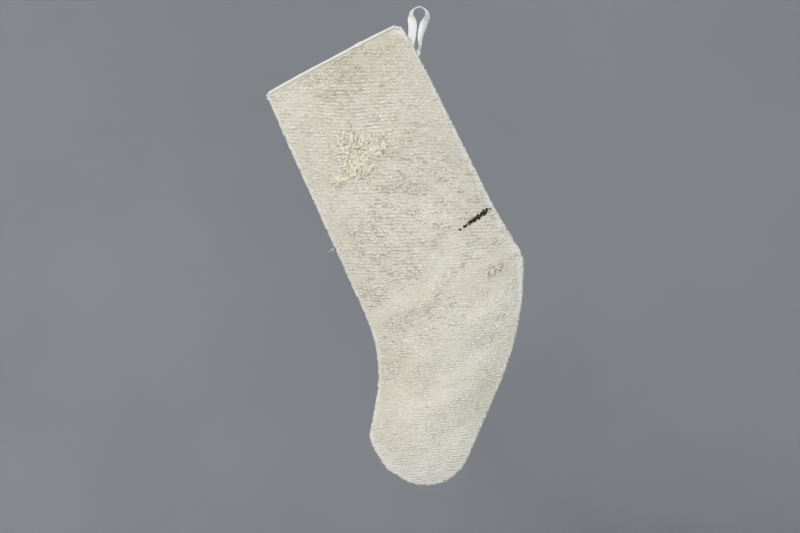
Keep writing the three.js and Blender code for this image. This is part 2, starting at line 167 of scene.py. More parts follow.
# name, place, size, power, colour
LIGHTS = (
    ("key", (-1.1, -2.2, 0.75), 0.9, 55, (1.0, 0.985, 0.955)),
    ("fill", (1.9, -1.9, -0.9), 1.8, 21, (0.95, 0.97, 1.0)),
    ("top", (0.2, -0.9, 2.2), 1.4, 14, (1.0, 1.0, 1.0)),
    ("back", (1.7, 2.1, 0.9), 1.1, 60, (1.0, 0.99, 0.97)),
)


# ---------- noise ----------

def noise(a, b, seed):
    """Smooth noise from -1 to 1 over two arrays, one lattice cell to a unit."""
    size = 256
    table = np.random.default_rng(seed).uniform(-1, 1, (size, size))
    ia, ib = np.floor(a).astype(int), np.floor(b).astype(int)
    fa, fb = smoothstep(a - ia, 0, 1), smoothstep(b - ib, 0, 1)
    low = table[ia % size, ib % size] * (1 - fa) + table[(ia + 1) % size, ib % size] * fa
    high = table[ia % size, (ib + 1) % size] * (1 - fa) + table[(ia + 1) % size, (ib + 1) % size] * fa
    return low * (1 - fb) + high * fb


def cell_noise(a, b, seed):
    """A random number from -1 to 1 for each pair of whole numbers."""
    size = 256
    table = np.random.default_rng(seed).uniform(-1, 1, (size, size))
    return table[a.astype(int) % size, b.astype(int) % size]


def smoothstep(x, low, high):
    t = np.clip((x - low) / (high - low), 0, 1)
    return t * t * (3 - 2 * t)


def bell(x, middle, width):
    """A soft bump of 1 at its middle, which falls off to nothing on both sides."""
    return np.exp(-(((x - middle) / width) ** 2))


def unit(vectors):
    """Vectors brought to a length of 1."""
    return vectors / (np.linalg.norm(vectors, axis=-1, keepdims=True) + 1e-12)


def run_along(points):
    """Distance along a line of points to each of them."""
    return np.concatenate([[0], np.cumsum(np.linalg.norm(np.diff(points, axis=0), axis=1))])


def towards(heading):
    """The unit vector of a heading."""
    return np.stack([np.cos(heading), np.sin(heading)], -1)


def box_of(node):
    """The lowest and highest corners of a node of the model."""
    return (np.array(corner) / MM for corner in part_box(node))


# ---------- the outlines, read from the flat plates of the model ----------

class Outline:
    """A closed outline in the stocking's plane, from the toe-side mouth corner round the toe to
    the heel-side mouth corner. Points are (x, z)."""

    def __init__(self, node):
        ring = self.flat_face(node)
        lengths = np.linalg.norm(np.roll(ring, -1, 0) - ring, axis=1)
        ring = np.roll(ring, -int(np.argmax(lengths)) - 1, axis=0)
        self.ring = ring[::-1] if ring[0][0] > ring[-1][0] else ring
        self.run = run_along(self.ring)

    @staticmethod
    def flat_face(node):
        """The corners of a plate's face towards the wall, in order round it."""
        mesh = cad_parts[node].data
        points, edges = {}, set()
        for polygon in mesh.polygons:
            if polygon.normal.y < 0.9:
                continue
            keys = []
            for v in polygon.vertices:
                co = mesh.vertices[v].co
                key = (round(co.x, 5), round(co.z, 5))
                points[key] = (co.x / MM, co.z / MM)
                keys.append(key)
            edges.update(zip(keys, keys[1:] + keys[:1]))
        following = {a: b for a, b in edges if (b, a) not in edges}
        start = min(following)
        ring, at = [points[start]], following[start]
        while at != start:
            ring.append(points[at])
            at = following[at]
        return np.array(ring)

    def inside(self, points):
        found = np.zeros(len(points), bool)
        x, z = points.T
        for a, b in zip(self.ring, np.roll(self.ring, -1, 0)):
            if a[1] == b[1]:
                continue
            crosses = (a[1] > z) != (b[1] > z)
            found ^= crosses & (x < (b[0] - a[0]) * (z - a[1]) / (b[1] - a[1]) + a[0])
        return found

    def nearest(self, points, with_mouth=True):
        """Distance to the outline, and the nearest points on it."""
        ring = np.vstack([self.ring, self.ring[:1]]) if with_mouth else self.ring
        best = np.full(len(points), np.inf)
        spot = np.zeros_like(points)
        for a, b in zip(ring[:-1], ring[1:]):
            side = b - a
            share = np.clip(((points - a) @ side) / (side @ side), 0, 1)
            on = a + share[:, None] * side
            distance = np.hypot(*(points - on).T)
            closer = distance < best
            best[closer] = distance[closer]
            spot[closer] = on[closer]
        return best, spot

    def at(self, distance):
        """The spots at distances along the outline."""
        return np.stack([np.interp(distance, self.run, self.ring[:, k]) for k in (0, 1)], -1)

    def frame(self, distance):
        """The spot at a distance along the outline, and the directions forward and outwards."""
        spot = self.at(distance)
        forward = unit(self.at(distance + 2) - spot)
        return spot, forward, np.array([forward[1], -forward[0]])

    def well_inside(self, points, inset):
        return self.inside(points) & (self.nearest(points)[0] > inset)


SEAM = Outline("back_panel")
LINING_EDGE = Outline("lining_back")
CORNER = SEAM.ring[0]
MOUTH = SEAM.ring[-1] - CORNER
MOUTH_WIDTH = float(np.hypot(*MOUTH))
ACROSS = MOUTH / MOUTH_WIDTH
DOWN = np.array([ACROSS[1], -ACROSS[0]])
front_low, front_high = box_of("front_panel")
CROWN = float(front_high[1] - front_low[1]) - RUG


def to_plane(points):
    """(x, z) to across and down, in the stocking's own leaning plane."""
    offset = points - CORNER
    return offset @ ACROSS, offset @ DOWN


def from_plane(across, down):
    across, down = np.broadcast_arrays(np.asarray(across, float), np.asarray(down, float))
    return CORNER + across[..., None] * ACROSS + down[..., None] * DOWN


def place(points, height):
    """Points (x, z) at a height over the seam's plane, as (x, y, z)."""
    return np.stack([points[:, 0], np.broadcast_to(-np.asarray(height, float), len(points)),
                     points[:, 1]], -1)


def crown_at(points):
    """How far the front's inner side stands over its height at the seam."""
    distance, _ = SEAM.nearest(points, with_mouth=False)
    _, down = to_plane(points)
    near = np.clip(distance / CROWN_REACH, 0, 1)
    grown = MOUTH_CROWN + (1 - MOUTH_CROWN) * smoothstep(down, 0, MOUTH_REACH)
    return CROWN * grown * near * (2 - near)


def sag(points):
    """Slow swells and soft creases of the hanging cloth, nothing at the seam."""
    distance, _ = SEAM.nearest(points, with_mouth=False)
    across, down = to_plane(points)
    held = smoothstep(distance, 0, 26)
    swell = 1.5 * noise(across / 46, down / 70, 11) + 0.8 * noise(across / 21, down / 34, 12)
    creases = np.zeros(len(points))
    for middle, slope, width, height in CREASES:
        along = (down - middle) + (across - 60) * slope
        reach = smoothstep(across, -60, 30) * (1 - smoothstep(across, 90, 150))
        creases += height * reach * bell(along, 0, width)
    return held * (swell + creases)


def front_height(points):
    """Height of the middle of the wool front."""
    return RUG_LIFT + crown_at(points) + sag(points) + RUG / 2


def rug_top(points):
    return front_height(points) + RUG / 2


def back_height(points):
    """The canvas lies against the wall, and puckers a little along the seam."""
    distance, spot = SEAM.nearest(points, with_mouth=False)
    pucker = np.exp(-distance / 11) * noise(spot[:, 0] / 6, spot[:, 1] / 6, 13)
    across, down = to_plane(points)
    slack = smoothstep(distance, 0, 30) * (0.6 + 0.5 * noise(across / 40, down / 60, 14))
    drag = bell(noise(across / 60 + 0.3 * down / 60, down / 45, 16), 0, 0.13)
    return CANVAS_TOP - CANVAS / 2 + 0.45 * pucker - 0.5 * slack - 0.7 * drag * smoothstep(distance, 4, 30)


def front_lining_height(points):
    return crown_at(points) + sag(points) - 0.5


def back_lining_height(points):
    across, down = to_plane(points)
    return -0.05 + 0.15 * noise(across / 25, down / 25, 15)


# ---------- mesh helpers ----------

def add_object(name, data):
    made = bpy.data.objects.new(name, data)
    bpy.context.scene.collection.objects.link(made)
    return made


def add_mesh(name, points, faces, material, attributes=None, sharp=None, inwards=False):
    """A smooth mesh object from points in millimetres, with float attributes on its points."""
    mesh = bpy.data.meshes.new(name)
    faces = faces.tolist() if isinstance(faces, np.ndarray) else faces
    mesh.from_pydata((np.asarray(points) * MM).tolist(), [], faces)
    shape = bmesh.new()
    shape.from_mesh(mesh)
    bmesh.ops.recalc_face_normals(shape, faces=shape.faces)
    if inwards:
        bmesh.ops.reverse_faces(shape, faces=shape.faces)
    shape.to_mesh(mesh)
    shape.free()
    mesh.polygons.foreach_set("use_smooth", [True] * len(mesh.polygons))
    for key, values in (attributes or {}).items():
        layer = mesh.attributes.new(key, "FLOAT", "POINT")
        layer.data.foreach_set("value", np.asarray(values, np.float32))
    if sharp is not None:
        mesh.set_sharp_from_angle(angle=math.radians(sharp))
    mesh.update()
    mesh.materials.append(material)
    return add_object(name, mesh)


def grid_faces(rows, columns, start=0, wrap=False):
    """Quads of a grid whose points lie row after row. With wrap, each row closes on itself."""
    index = start + np.arange(rows * columns).reshape(rows, columns)
    right = np.roll(index, -1, axis=1)
    last = columns if wrap else columns - 1
    quads = np.stack([index[:-1, :last], right[:-1, :last], right[1:, :last], index[1:, :last]], -1)
    return quads.reshape(-1, 4)


def rim_of(index):
    """The numbers of a grid's outer points, in order round it."""
    return np.concatenate([index[0, :-1], index[:-1, -1], index[-1, :0:-1], index[:0:-1, 0]])


def strip(near, far, across, along):
    """A closed strip of cloth between two grids of points (rows, columns, 3): its points and faces,
    and the across and along of its threads, which are given by column and by row."""
    rows, columns = near.shape[:2]
    count = rows * columns
    points = np.vstack([near.reshape(-1, 3), far.reshape(-1, 3)])
    front = grid_faces(rows, columns)
    rim = rim_of(np.arange(count).reshape(rows, columns))
    on = np.roll(rim, -1)
    sides = np.stack([rim, rim + count, on + count, on], -1)
    faces = np.vstack([front[:, ::-1], front + count, sides[:, ::-1]]).tolist()
    return points, faces, np.tile(across, 2 * rows), np.tile(np.repeat(along, columns), 2)


def tube(line, height, radii, sides=6, flat=1.0):
    """Points, faces and share along of a closed tapering tube that follows a line of points (x, z)
    at a height. flat squeezes its section."""
    path = place(line, height)
    along = unit(np.gradient(path, axis=0))
    guide = (0.0, -1.0, 0.0) if abs(along[0][1]) < 0.9 else (1.0, 0.0, 0.0)
    side = unit(np.cross(along, guide))
    up = np.cross(side, along)
    angles = 2 * math.pi * np.arange(sides) / sides
    radii = np.broadcast_to(radii, len(path))
    rings = (path[:, None] + radii[:, None, None] * (np.cos(angles)[None, :, None] * side[:, None]
             + flat * np.sin(angles)[None, :, None] * up[:, None]))
    points = rings.reshape(-1, 3)
    faces = grid_faces(len(path), sides, wrap=True).tolist()
    last = (len(path) - 1) * sides
    faces.append(list(range(sides)))
    faces.append([last + k for k in reversed(range(sides))])
    return points, faces, np.repeat(np.linspace(0, 1, len(path)), sides)


def stacked(parts):
    """The points and faces of several meshes as one, and each further value of their points."""
    points, face_lists, *values = zip(*parts)
    starts = np.cumsum([0] + [len(p) for p in points]).tolist()
    faces = [[v + start for v in face] for start, some in zip(starts, face_lists) for face in some]
    return np.concatenate(points), faces, [np.concatenate(v) for v in values]


def wool_piece(name, parts, material, shaded_roots=True):
    """Many strands as one piece, with a number from 0 to 1 that tells them apart. The material paints
    shade at their roots, unless that is turned off."""
    points, faces, (along,) = stacked(parts)
    owner = np.repeat(np.arange(len(parts)) * 0.618034 % 1.0, [len(part[0]) for part in parts])
    return add_mesh(name, points, faces, material,
                    {"owner": owner, "length": along if shaded_roots else np.ones(len(points))})


def strip_piece(name, strips, material, sharp=None):
    """Several strips of cloth as one piece."""
    points, faces, (across, along) = stacked(strips)
    return add_mesh(name, points, faces, material, {"across": across, "along": along}, sharp)


# ---------- materials ----------

class Nodes:
    """A short way to write a node tree."""

    def __init__(self, name):
        self.material = bpy.data.materials.new(name)
        self.material.use_nodes = True
        self.tree = self.material.node_tree
        self.shader = next(n for n in self.tree.nodes if n.type == "BSDF_PRINCIPLED")

    def node(self, kind, inputs=None, **settings):
        made = self.tree.nodes.new(kind)
        for key, value in settings.items():
            setattr(made, key, value)
        for key, value in (inputs or {}).items():
            self.feed(made.inputs[key], value)
        return made

    def feed(self, socket, value):
        if isinstance(value, bpy.types.NodeSocket):
            self.tree.links.new(value, socket)
        elif socket.type == "RGBA":
            socket.default_value = (*value, 1)
        else:
            socket.default_value = value

    def attribute(self, name):
        return self.node("ShaderNodeAttribute", attribute_name=name).outputs["Fac"]

    def noise(self, scale, detail=3.0, rough=0.55):
        """Noise over the object's own coordinates, its cells to a millimetre along X, Y and Z."""
        scale = scale if isinstance(scale, tuple) else (scale,) * 3
        mapped = self.node("ShaderNodeMapping", {
            "Vector": self.node("ShaderNodeTexCoord").outputs["Object"],
            "Scale": tuple(s / MM for s in scale),
        })
        return self.node("ShaderNodeTexNoise", {
            "Vector": mapped.outputs["Vector"], "Scale": 1.0, "Detail": detail, "Roughness": rough,
        }).outputs["Fac"]

    def math(self, operation, a, b=0.0):
        return self.node("ShaderNodeMath", {0: a, 1: b}, operation=operation).outputs[0]

    def wave(self, value, pitch):
        """A sine from -1 to 1 that repeats each time the value has grown by the pitch."""
        return self.math("SINE", self.math("MULTIPLY", value, 2 * math.pi / pitch))

    def weighed(self, a, weight_a, b, weight_b):
        """The sum of two values, each times its weight."""
        return self.math("ADD", self.math("MULTIPLY", a, weight_a), self.math("MULTIPLY", b, weight_b))

    def spread(self, value, low, high, out_low=0.0, out_high=1.0):
        return self.node("ShaderNodeMapRange", {
            "Value": value, "From Min": low, "From Max": high, "To Min": out_low, "To Max": out_high,
        }).outputs["Result"]

    def tints(self, color, *rows):
        """A colour with others over it. Each row says what brings the other colour in, the values
        between which it comes, how much of it there is at the most, and the colour."""
        for value, low, high, amount, over in rows:
            share = self.spread(value, low, high, 0.0, amount)
            color = self.node("ShaderNodeMix", {0: share, 6: color, 7: over}, data_type="RGBA").outputs[2]
        return color

    def finish(self, color, roughness, height=None, distance=0.1, sheen=0.0, sheen_rough=0.5):
        inputs = {
            "Base Color": color, "Roughness": roughness, "Specular IOR Level": 0.2,
            "Sheen Weight": sheen, "Sheen Roughness": sheen_rough,
        }
        if height is not None:
            inputs["Normal"] = self.node("ShaderNodeBump", {
                "Height": height, "Distance": distance * MM, "Strength": 1.0,
            }).outputs["Normal"]
        for key, value in inputs.items():
            self.feed(self.shader.inputs[key], value)
        return self.material


def rug_material():
    """Undyed rug wool, yellowed, greened or tan in patches. Its colour has painted shade, darker in the
    grooves between the wefts, the splits, the pits, dark specks and a line under the binding, and painted
    highlights, paler on nubs, in pale specks, along the seam and over the toe."""
    n = Nodes("rug_wool")
    blotch = n.noise((0.016, 0.016, 0.022), 4)
    warm = n.noise((0.035, 0.035, 0.06))
    speck = n.noise((0.62, 0.62, 0.8), 2)
    abrash = n.noise((0.006, 0.006, 0.33))
    fibre = n.noise((0.9, 2.2, 2.6), 4, 0.7)
    fine_specks = n.noise((1.25, 1.25, 1.5), 1)
    hue = n.noise((0.075, 0.075, 0.10))
    tan = (0.525, 0.478, 0.355)
    # pale paints highlights, and shade paints shade in recesses and specks; shade also darkens the fibre
    # grain.
    pale = (0.810, 0.810, 0.770)
    shade = (0.275, 0.248, 0.200)
    color = n.tints(
        (0.650, 0.628, 0.545),
        # paler and greyer towards the toe: partly the wool's own greyer colour, partly painted light on
        # the lower part
        (n.attribute("foot"), 0, 1, 0.9, (0.740, 0.730, 0.640)),
        (blotch, 0.42, 0.66, 0.35, tan),
        (warm, 0.55, 0.75, 0.45, (0.615, 0.630, 0.530)),
        (warm, 0.42, 0.25, 0.45, (0.680, 0.610, 0.550)),
        (hue, 0.56, 0.70, 0.40, (0.660, 0.700, 0.690)),
        (hue, 0.44, 0.30, 0.25, (0.730, 0.650, 0.640)),
        (abrash, 0.4, 0.7, 0.2, tan),
        # the stains, and a painted shadow line under the binding
        (n.attribute("stain_and_shadow"), 0, 1, 0.75, tan),
        (n.attribute("tone"), 1, 0, 0.16, tan),
        # painted highlights on the nubs
        (n.attribute("nub"), 0, 1, 0.45, pale),
        # painted highlight along the seam and over the toe
        (n.attribute("edge"), 0, 1, 0.75, (0.800, 0.790, 0.775)),
        # painted highlights and painted shade in fine specks, for relief too small for the mesh
        (speck, 0.60, 0.72, 0.60, pale),
        (speck, 0.38, 0.28, 0.45, shade),
        (fine_specks, 0.60, 0.74, 0.55, pale),
        (fine_specks, 0.40, 0.27, 0.50, shade),
        # painted shade in the grooves, splits and pits
        (n.attribute("cut"), 0, 1, 0.62, shade),
        (fibre, 0.4, 0.75, 0.18, shade),
    )
    rough = n.spread(fibre, 0.3, 0.7, 0.88, 1.0)
    height = n.math("ADD", fibre, n.math("MULTIPLY", n.math("ADD", speck, fine_specks), 1.3))
    return n.finish(color, rough, height, distance=0.4, sheen=0.3, sheen_rough=0.45)


def pile_material(name, light, dark, root, sheen=0.3):
    """Wool strands, each its own shade between light and dark, and shade painted in the root colour near
    the cloth.
    """
    n = Nodes(name)
    fibre = n.noise(1.6, 4, 0.7)
    color = n.tints(
        light,
        (n.attribute("owner"), 0.0, 1.0, 0.8, dark),
        (n.attribute("length"), 0.35, 0.0, 0.75, root),
        (fibre, 0.35, 0.75, 0.25, root),
    )
    return n.finish(color, n.spread(fibre, 0.3, 0.7, 0.85, 1.0), fibre, distance=0.25, sheen=sheen)


def woven_material(name, light, shade, pitch, relief, sheen=0.15, worn=False):
    """Plain-woven cotton, its threads along the mesh's own across and along attributes. Worn cloth
    has raised slubs and is rubbed darker along its edge."""
    n = Nodes(name)
    over, under = (n.wave(n.attribute(key), pitch) for key in ("across", "along"))
    threads = n.math("ABSOLUTE", n.math("MULTIPLY", over, under))
    slub = n.noise(0.5, 5, 0.7)
    color = n.tints(
        light,
        (threads, 0.55, 0.0, 0.35, shade),
        (slub, 0.4, 0.75, 0.3, shade),
        (n.noise(0.02), 0.4, 0.7, 0.25, shade),
    )
    if worn:
        color = n.tints(
            color,
            (n.noise((0.02, 0.02, 0.9), 4, 0.7), 0.45, 0.7, 0.25, shade),
            (n.attribute("slub"), 0.2, 1.0, 0.35, (0.80, 0.77, 0.69)),
            (n.attribute("edge"), 0.3, 1.0, 0.22, shade),
        )
    height = n.weighed(threads, 0.7, slub, 0.5)
    return n.finish(color, n.spread(slub, 0.3, 0.7, 0.8, 0.95), height, distance=relief, sheen=sheen)


def tape_material():
    """White twill tape: fine diagonal ribs with a plain selvedge."""
    n = Nodes("loop_tape")
    across, along = n.math("ABSOLUTE", n.attribute("across")), n.attribute("along")
    twill = n.wave(n.math("ADD", across, along), TWILL)
    edge = n.spread(across, (SELVEDGE - 0.04) * TAPE_WIDTH, SELVEDGE * TAPE_WIDTH)
    weave = n.weighed(twill, n.math("SUBTRACT", 1.0, edge), n.wave(along, TAPE_THREADS), edge)
    slub = n.noise(0.7, 4, 0.7)
    color = n.tints(
        (0.80, 0.81, 0.80),
        (weave, -0.2, -1.0, 0.3, (0.50, 0.51, 0.53)),
        (slub, 0.45, 0.75, 0.25, (0.58, 0.58, 0.59)),
    )
    height = n.weighed(weave, 0.5, slub, 0.4)
    return n.finish(color, n.spread(slub, 0.3, 0.7, 0.75, 0.92), height, distance=0.18, sheen=0.2)


def thread_material(name, light, shade):
    """Sewing cotton with the dark lines between its plies."""
    n = Nodes(name)
    ply = n.noise(2.0)
    color = n.tints(light, (ply, 0.35, 0.7, 0.6, shade))
    return n.finish(color, n.spread(ply, 0.3, 0.7, 0.6, 0.8), ply, distance=0.12, sheen=0.1)


# ---------- the cloth panels ----------

def rib_table():
    """Levels down the stocking, and the number of weft ribs down to each."""
    levels = np.arange(40.0, -560.0, -1.0)
    share = smoothstep(-levels, -RIB_CHANGE[0], -RIB_CHANGE[1])
    return levels, np.cumsum(1 / (RIB_PITCH[0] + (RIB_PITCH[1] - RIB_PITCH[0]) * share))


RIB_LEVELS, RIB_NUMBERS = rib_table()


def weft_level(level, x):
    """The z of a weft thread at x, where it is at a level on the whole. It wanders, and tilts in the
    foot."""
    tilt = 0.012 + 0.06 * smoothstep(-level, 230, 420)
    wander = 1.6 * noise(x / 70, level / 60, 21) + 0.6 * noise(x / 23, level / 31, 22)
    return level + tilt * (x - 10) + wander


def row_spans(outline, levels, inset):
    """The levels that cross the outline, with the first and last x well inside it on each."""
    step = 1.5
    xs = np.arange(front_low[0] - 2, front_high[0] + 2, step)
    level, x = np.meshgrid(levels, xs, indexing="ij")
    points = np.stack([x.ravel(), weft_level(level.ravel(), x.ravel())], -1)
    found = outline.well_inside(points, inset).reshape(level.shape)
    used = found.any(axis=1)
    levels, found = levels[used], found[used]
    spans = []
    for first, way in ((found.argmax(1), -1), (len(xs) - 1 - found[:, ::-1].argmax(1), 1)):
        good = xs[first].astype(float)
        bad = good + way * step
        for _ in range(12):
            middle = (good + bad) / 2
            points = np.stack([middle, weft_level(levels, middle)], -1)
            ok = outline.well_inside(points, inset)
            good, bad = np.where(ok, middle, good), np.where(ok, bad, middle)
        spans.append(good)
    return levels, spans[0], spans[1]


def filled_side(outline, loop, height_at, step=8.0):
    """A plain far side for a rim: the rim's own points first, then inner ones."""
    xs = np.arange(front_low[0], front_high[0], step)
    zs = np.arange(front_low[2], front_high[2], step)
    grid = np.array([(x, z) for x in xs for z in zs])
    grid = grid[outline.well_inside(grid, 0.7 * step)]
    flat = [Vector((p[0], p[2])) for p in loop] + [Vector(p) for p in grid]
    edges = [(i, (i + 1) % len(loop)) for i in range(len(loop))]
    _, _, faces, source, _, _ = geometry.delaunay_2d_cdt(flat, edges, [], 1, 1e-6)
    triangles = [[source[v][0] for v in face] for face in faces]
    return np.vstack([loop, place(grid, height_at(grid))]), triangles


def panel(name, outline, side, thickness, spacing, columns, height_at, weave, material):
    """A closed sheet cut to an outline. Its dense face looks at the viewer (side 1) or at the wall
    (side -1). weave(points, levels) gives the relief of that face and attributes for its points."""
    inset = thickness / 2
    levels = np.arange(front_high[2] + 12, front_low[2] - 12, -spacing)
    levels, left, right = row_spans(outline, levels, inset)
    share = np.linspace(0, 1, columns)
    x = (left[:, None] + (right - left)[:, None] * share).ravel()
    level = np.repeat(levels, columns)
    points = np.stack([x, weft_level(level, x)], -1)
    relief, values = weave(points, level)
    middle = height_at(points)
    rows = [place(points, middle + side * (thickness / 2 + relief))]
    index = np.arange(len(points)).reshape(-1, columns)
    faces = [grid_faces(*index.shape)]
    rim = rim_of(index)
    distance, spot = outline.nearest(points[rim])
    outwards = (spot - points[rim]) / distance[:, None]
    before, start, steps = rim, len(points), 5
    for k in range(1, steps + 1):
        angle = math.pi * k / steps
        swell = inset + relief[rim] * (1 - k / steps)
        spread = points[rim] + outwards * (swell * math.sin(angle))[:, None]
        rows.append(place(spread, middle[rim] + side * swell * math.cos(angle)))
        ring = start + np.arange(len(rim))
        faces.append(np.stack([before, ring, np.roll(ring, -1), np.roll(before, -1)], -1))
        before, start = ring, start + len(rim)
    far, triangles = filled_side(outline, rows[-1], lambda p: height_at(p) - side * thickness / 2)
    rows.append(far[len(rim):])
    shift = before[0]
    face_list = np.vstack(faces).tolist() + [[v + shift for v in t] for t in triangles]
    extra = len(far) - len(rim)
    attributes = {
        key: np.concatenate([v] + [v[rim]] * steps + [np.full(extra, v.mean())])
        for key, v in values.items()
    }
    return add_mesh(name, np.vstack(rows), face_list, material, attributes)


def stains_and_shadow_at(across, down):
    """The stains, some dirt all over, and a painted shadow line under the mouth's binding."""
    stain_and_shadow = 0.3 * smoothstep(noise(across / 33, down / 27, 38), 0.0, 0.8)
    # A painted shadow line under the mouth's binding.
    stain_and_shadow += 0.6 * bell(down, 3.0, 2.6) * (across < 146)
    for a, d, wide, high, strength in STAINS:
        stain_and_shadow += strength * bell(across, a, wide) * bell(down, d, high)
    return stain_and_shadow


def rim_highlight_width(across, down):
    """Width of the painted highlight along the seam: more at the heel, up the heel side, at the mouth's
    heel corner and at the toe."""
    heel = 9.0 * bell(down, 258, 26) * (across > 60)
    side = 3.5 * smoothstep(across, 110, 150) * smoothstep(down, 60, 200)
    corner = 6.0 * bell(down, 6, 12) * (across > 120)
    toe = 15.0 * bell(down, 400, 26) * (across < -25)
    return 3.0 + heel + side + corner + toe


def rug_weave(points, level):
    """Broken weft ribs: each is a row of beads whose lower edges are scalloped, with a groove under
    it that comes and goes, felted smooth patches, and nubs."""
    x = points[:, 0]
    distance, _ = SEAM.nearest(points)
    across, down = to_plane(points)
    lower, toe = smoothstep(down, 170, 260), smoothstep(down, 395, 430)
    # The rib on which a point lies, how far down it that is, and which of its beads.
    drift = 0.7 * noise(x / 7.5, level / 5.0, 30) + 0.45 * noise(x / 2.8, level / 3.2, 39)
    drift += 1.3 * noise(x / 37, level / 45, 49) - 0.05 * lower * (x - 10)
    row = np.interp(-(level + drift), -RIB_LEVELS, -RIB_NUMBERS)
    rib = np.floor(row)
    phase = row - rib
    along = x / GRAIN + 0.5 * (rib % 2) + 0.8 * cell_noise(rib, rib * 0 + 3, 31)
    along = along + 0.55 * noise(x / 11, rib * 5.3, 32)
    grain = np.floor(along)
    tone = cell_noise(grain, rib, 33)
    bead = 2 * (along - grain) - 1
    seat = 0.15 + (0.16 + 0.16 * tone) * bead ** 2
    shows = smoothstep(noise(x / 4.6 + 57.3 * rib, rib * 17.7, 34) + 0.45 * tone + 0.5 * toe, -0.20, 0.45)
    # Felted wool, the mouth's heel corner and both sides of the leg are calmer than the rest.
    slanting = noise((0.8 * x + 0.6 * level) / 45, (0.8 * level - 0.6 * x) / 13, 50)
    felted = smoothstep((1 - lower) * (noise(x / 13, level / 8, 35) - 0.22) + lower * slanting, 0.0, 0.45)
    corner = bell(across, 152, 11) * bell(down, 4, 8)
    quiet = smoothstep(np.abs(across - 85), 25, 55) * (1 - smoothstep(down, 130, 190))
    calm = (1 - 0.60 * felted * (1 - 0.8 * toe)) * (1 - 0.15 * smoothstep(down, 290, 380) + 0.35 * toe)
    calm = calm * (1 - 0.8 * corner) * (1 - 0.42 * quiet)
    rough = smoothstep(noise(x / 9, level / 6, 53), -0.45, 0.45) * (1 - 0.7 * smoothstep(down, 260, 370))
    border = 0.35 + 0.65 * smoothstep(distance, 0.5, 5.0)
    # What goes in: grooves under the ribs, splits between beads, and pits; cut sinks them, and the
    # material paints shade into them by it. What comes out: the rib's round back, swollen beads, and nubs.
    groove = bell(phase, seat, 0.16) * (0.25 + 0.75 * shows)
    split = bell(np.abs(bead), 1, 1.3 / GRAIN) * (0.4 + 0.6 * tone) * (1 - 0.8 * toe)
    dome = np.sin(math.pi * np.clip((phase - seat) / (1.02 - seat), 0, 1)) ** 0.8
    # nub raises the relief, and the material also paints highlights on it.
    nub = smoothstep(noise(x / 1.5, level / 1.25, 36), 0.05, 0.7) * (1 - 0.6 * felted) * (1 - 0.7 * corner)
    pit = smoothstep(noise(x / 1.45, level / 1.3, 47), 0.42 - 0.3 * rough, 0.8 - 0.3 * rough)
    pit = pit * (0.25 + 0.75 * rough) * (1 - 0.8 * felted) * (1 - 0.9 * corner) * (1 - 0.6 * toe)
    swollen = 0.5 * noise(x / 4.2, level / 2.4, 37) + 0.4 * tone
    cut = calm * np.clip((0.7 + 0.3 * rough) * groove + 0.35 * np.clip(split, 0, 1) + 0.9 * pit, 0, 1)
    relief = 0.42 * calm * dome + 0.25 * swollen + 0.45 * nub - 0.6 * cut - 0.2
    patchy = 0.75 + 0.4 * noise(across / 16, down / 16, 40) + 0.6 * noise(x / 2.4, level / 2.4, 48)
    rim_highlight_to = rim_highlight_width(across, down)
    side_distance, _ = SEAM.nearest(points, with_mouth=False)
    # The painted highlight along the seam.
    pale = 1 - smoothstep(side_distance, 0.3 * rim_highlight_to, rim_highlight_to)
    return RIB_HEIGHT * border * relief, {
        "cut": np.clip(border * cut, 0, 1),
        "nub": nub * border,
        "tone": 0.5 + 0.5 * tone,
        "foot": smoothstep(down + 0.5 * across, 180, 380),
        "stain_and_shadow": np.clip(stains_and_shadow_at(across, down) * smoothstep(distance, 0, 9), 0, 1),
        # painted highlight along the seam and over the whole toe
        "edge": np.maximum(pale * np.clip(patchy, 0, 1), 0.6 * toe),
    }


def canvas_weave(points, level):
    across, down = to_plane(points)
    distance, _ = SEAM.nearest(points, with_mouth=False)
    slub = smoothstep(noise(across / 30, down / 1.6, 41), 0.25, 0.8)
    slub += smoothstep(noise(across / 1.6, down / 26, 42), 0.35, 0.9)
    relief = 0.05 * noise(across / 2.0, down / 2.0, 43) + 0.16 * slub
    return relief, {"across": across, "along": down, "slub": slub, "edge": 1 - smoothstep(distance, 0, 14)}


def seam_fold():
    """The turned seam allowance between the front and the back, from the mouth's toe side to just
    under the loop."""
    at = np.arange(0.004, 0.994, 0.0022) * SEAM.run[-1]
    line = SEAM.at(at)
    forward = unit(np.gradient(line, axis=0))
    inwards = np.stack([-forward[:, 1], forward[:, 0]], -1)
    pucker = noise(at / 6, at * 0, 45)
    line = line + inwards * (SEAM_INSET + 0.25 * pucker)[:, None]
    points, faces, along = tube(line, 0.0, SEAM_HALF + 0.25 * pucker, sides=10, flat=0.42)
    cloth = woven_material("seam_canvas", (0.76, 0.73, 0.64), (0.50, 0.46, 0.37), 1.1, 0.2)
    return add_mesh("seam_fold", points, faces, cloth,
                    {"across": points[:, 1], "along": along * SEAM.run[-1]})


# ---------- the mouth's binding ----------

def corner_run(corner, ahead, away, length):
    """The edge's run round a corner of the mouth and down its side, with the directions out of it.
    ahead is the side's next spot and away points out of the mouth along its edge."""
    side = unit(ahead - corner)
    normal = np.array([-side[1], side[0]])
    normal = normal if normal @ away > 0 else -normal
    turn = np.linspace(0, 1, 7)[1:-1, None]
    bent = unit(-DOWN + turn * (normal + DOWN))
    rounded = corner + CORNER_RADIUS * (side - away + bent - (bent[0] + bent[-1]) / 2)
    run = corner + np.linspace(3.0, length, 10)[:, None] * side
    return np.vstack([rounded, run]), np.vstack([bent, np.tile(normal, (len(run), 1))])


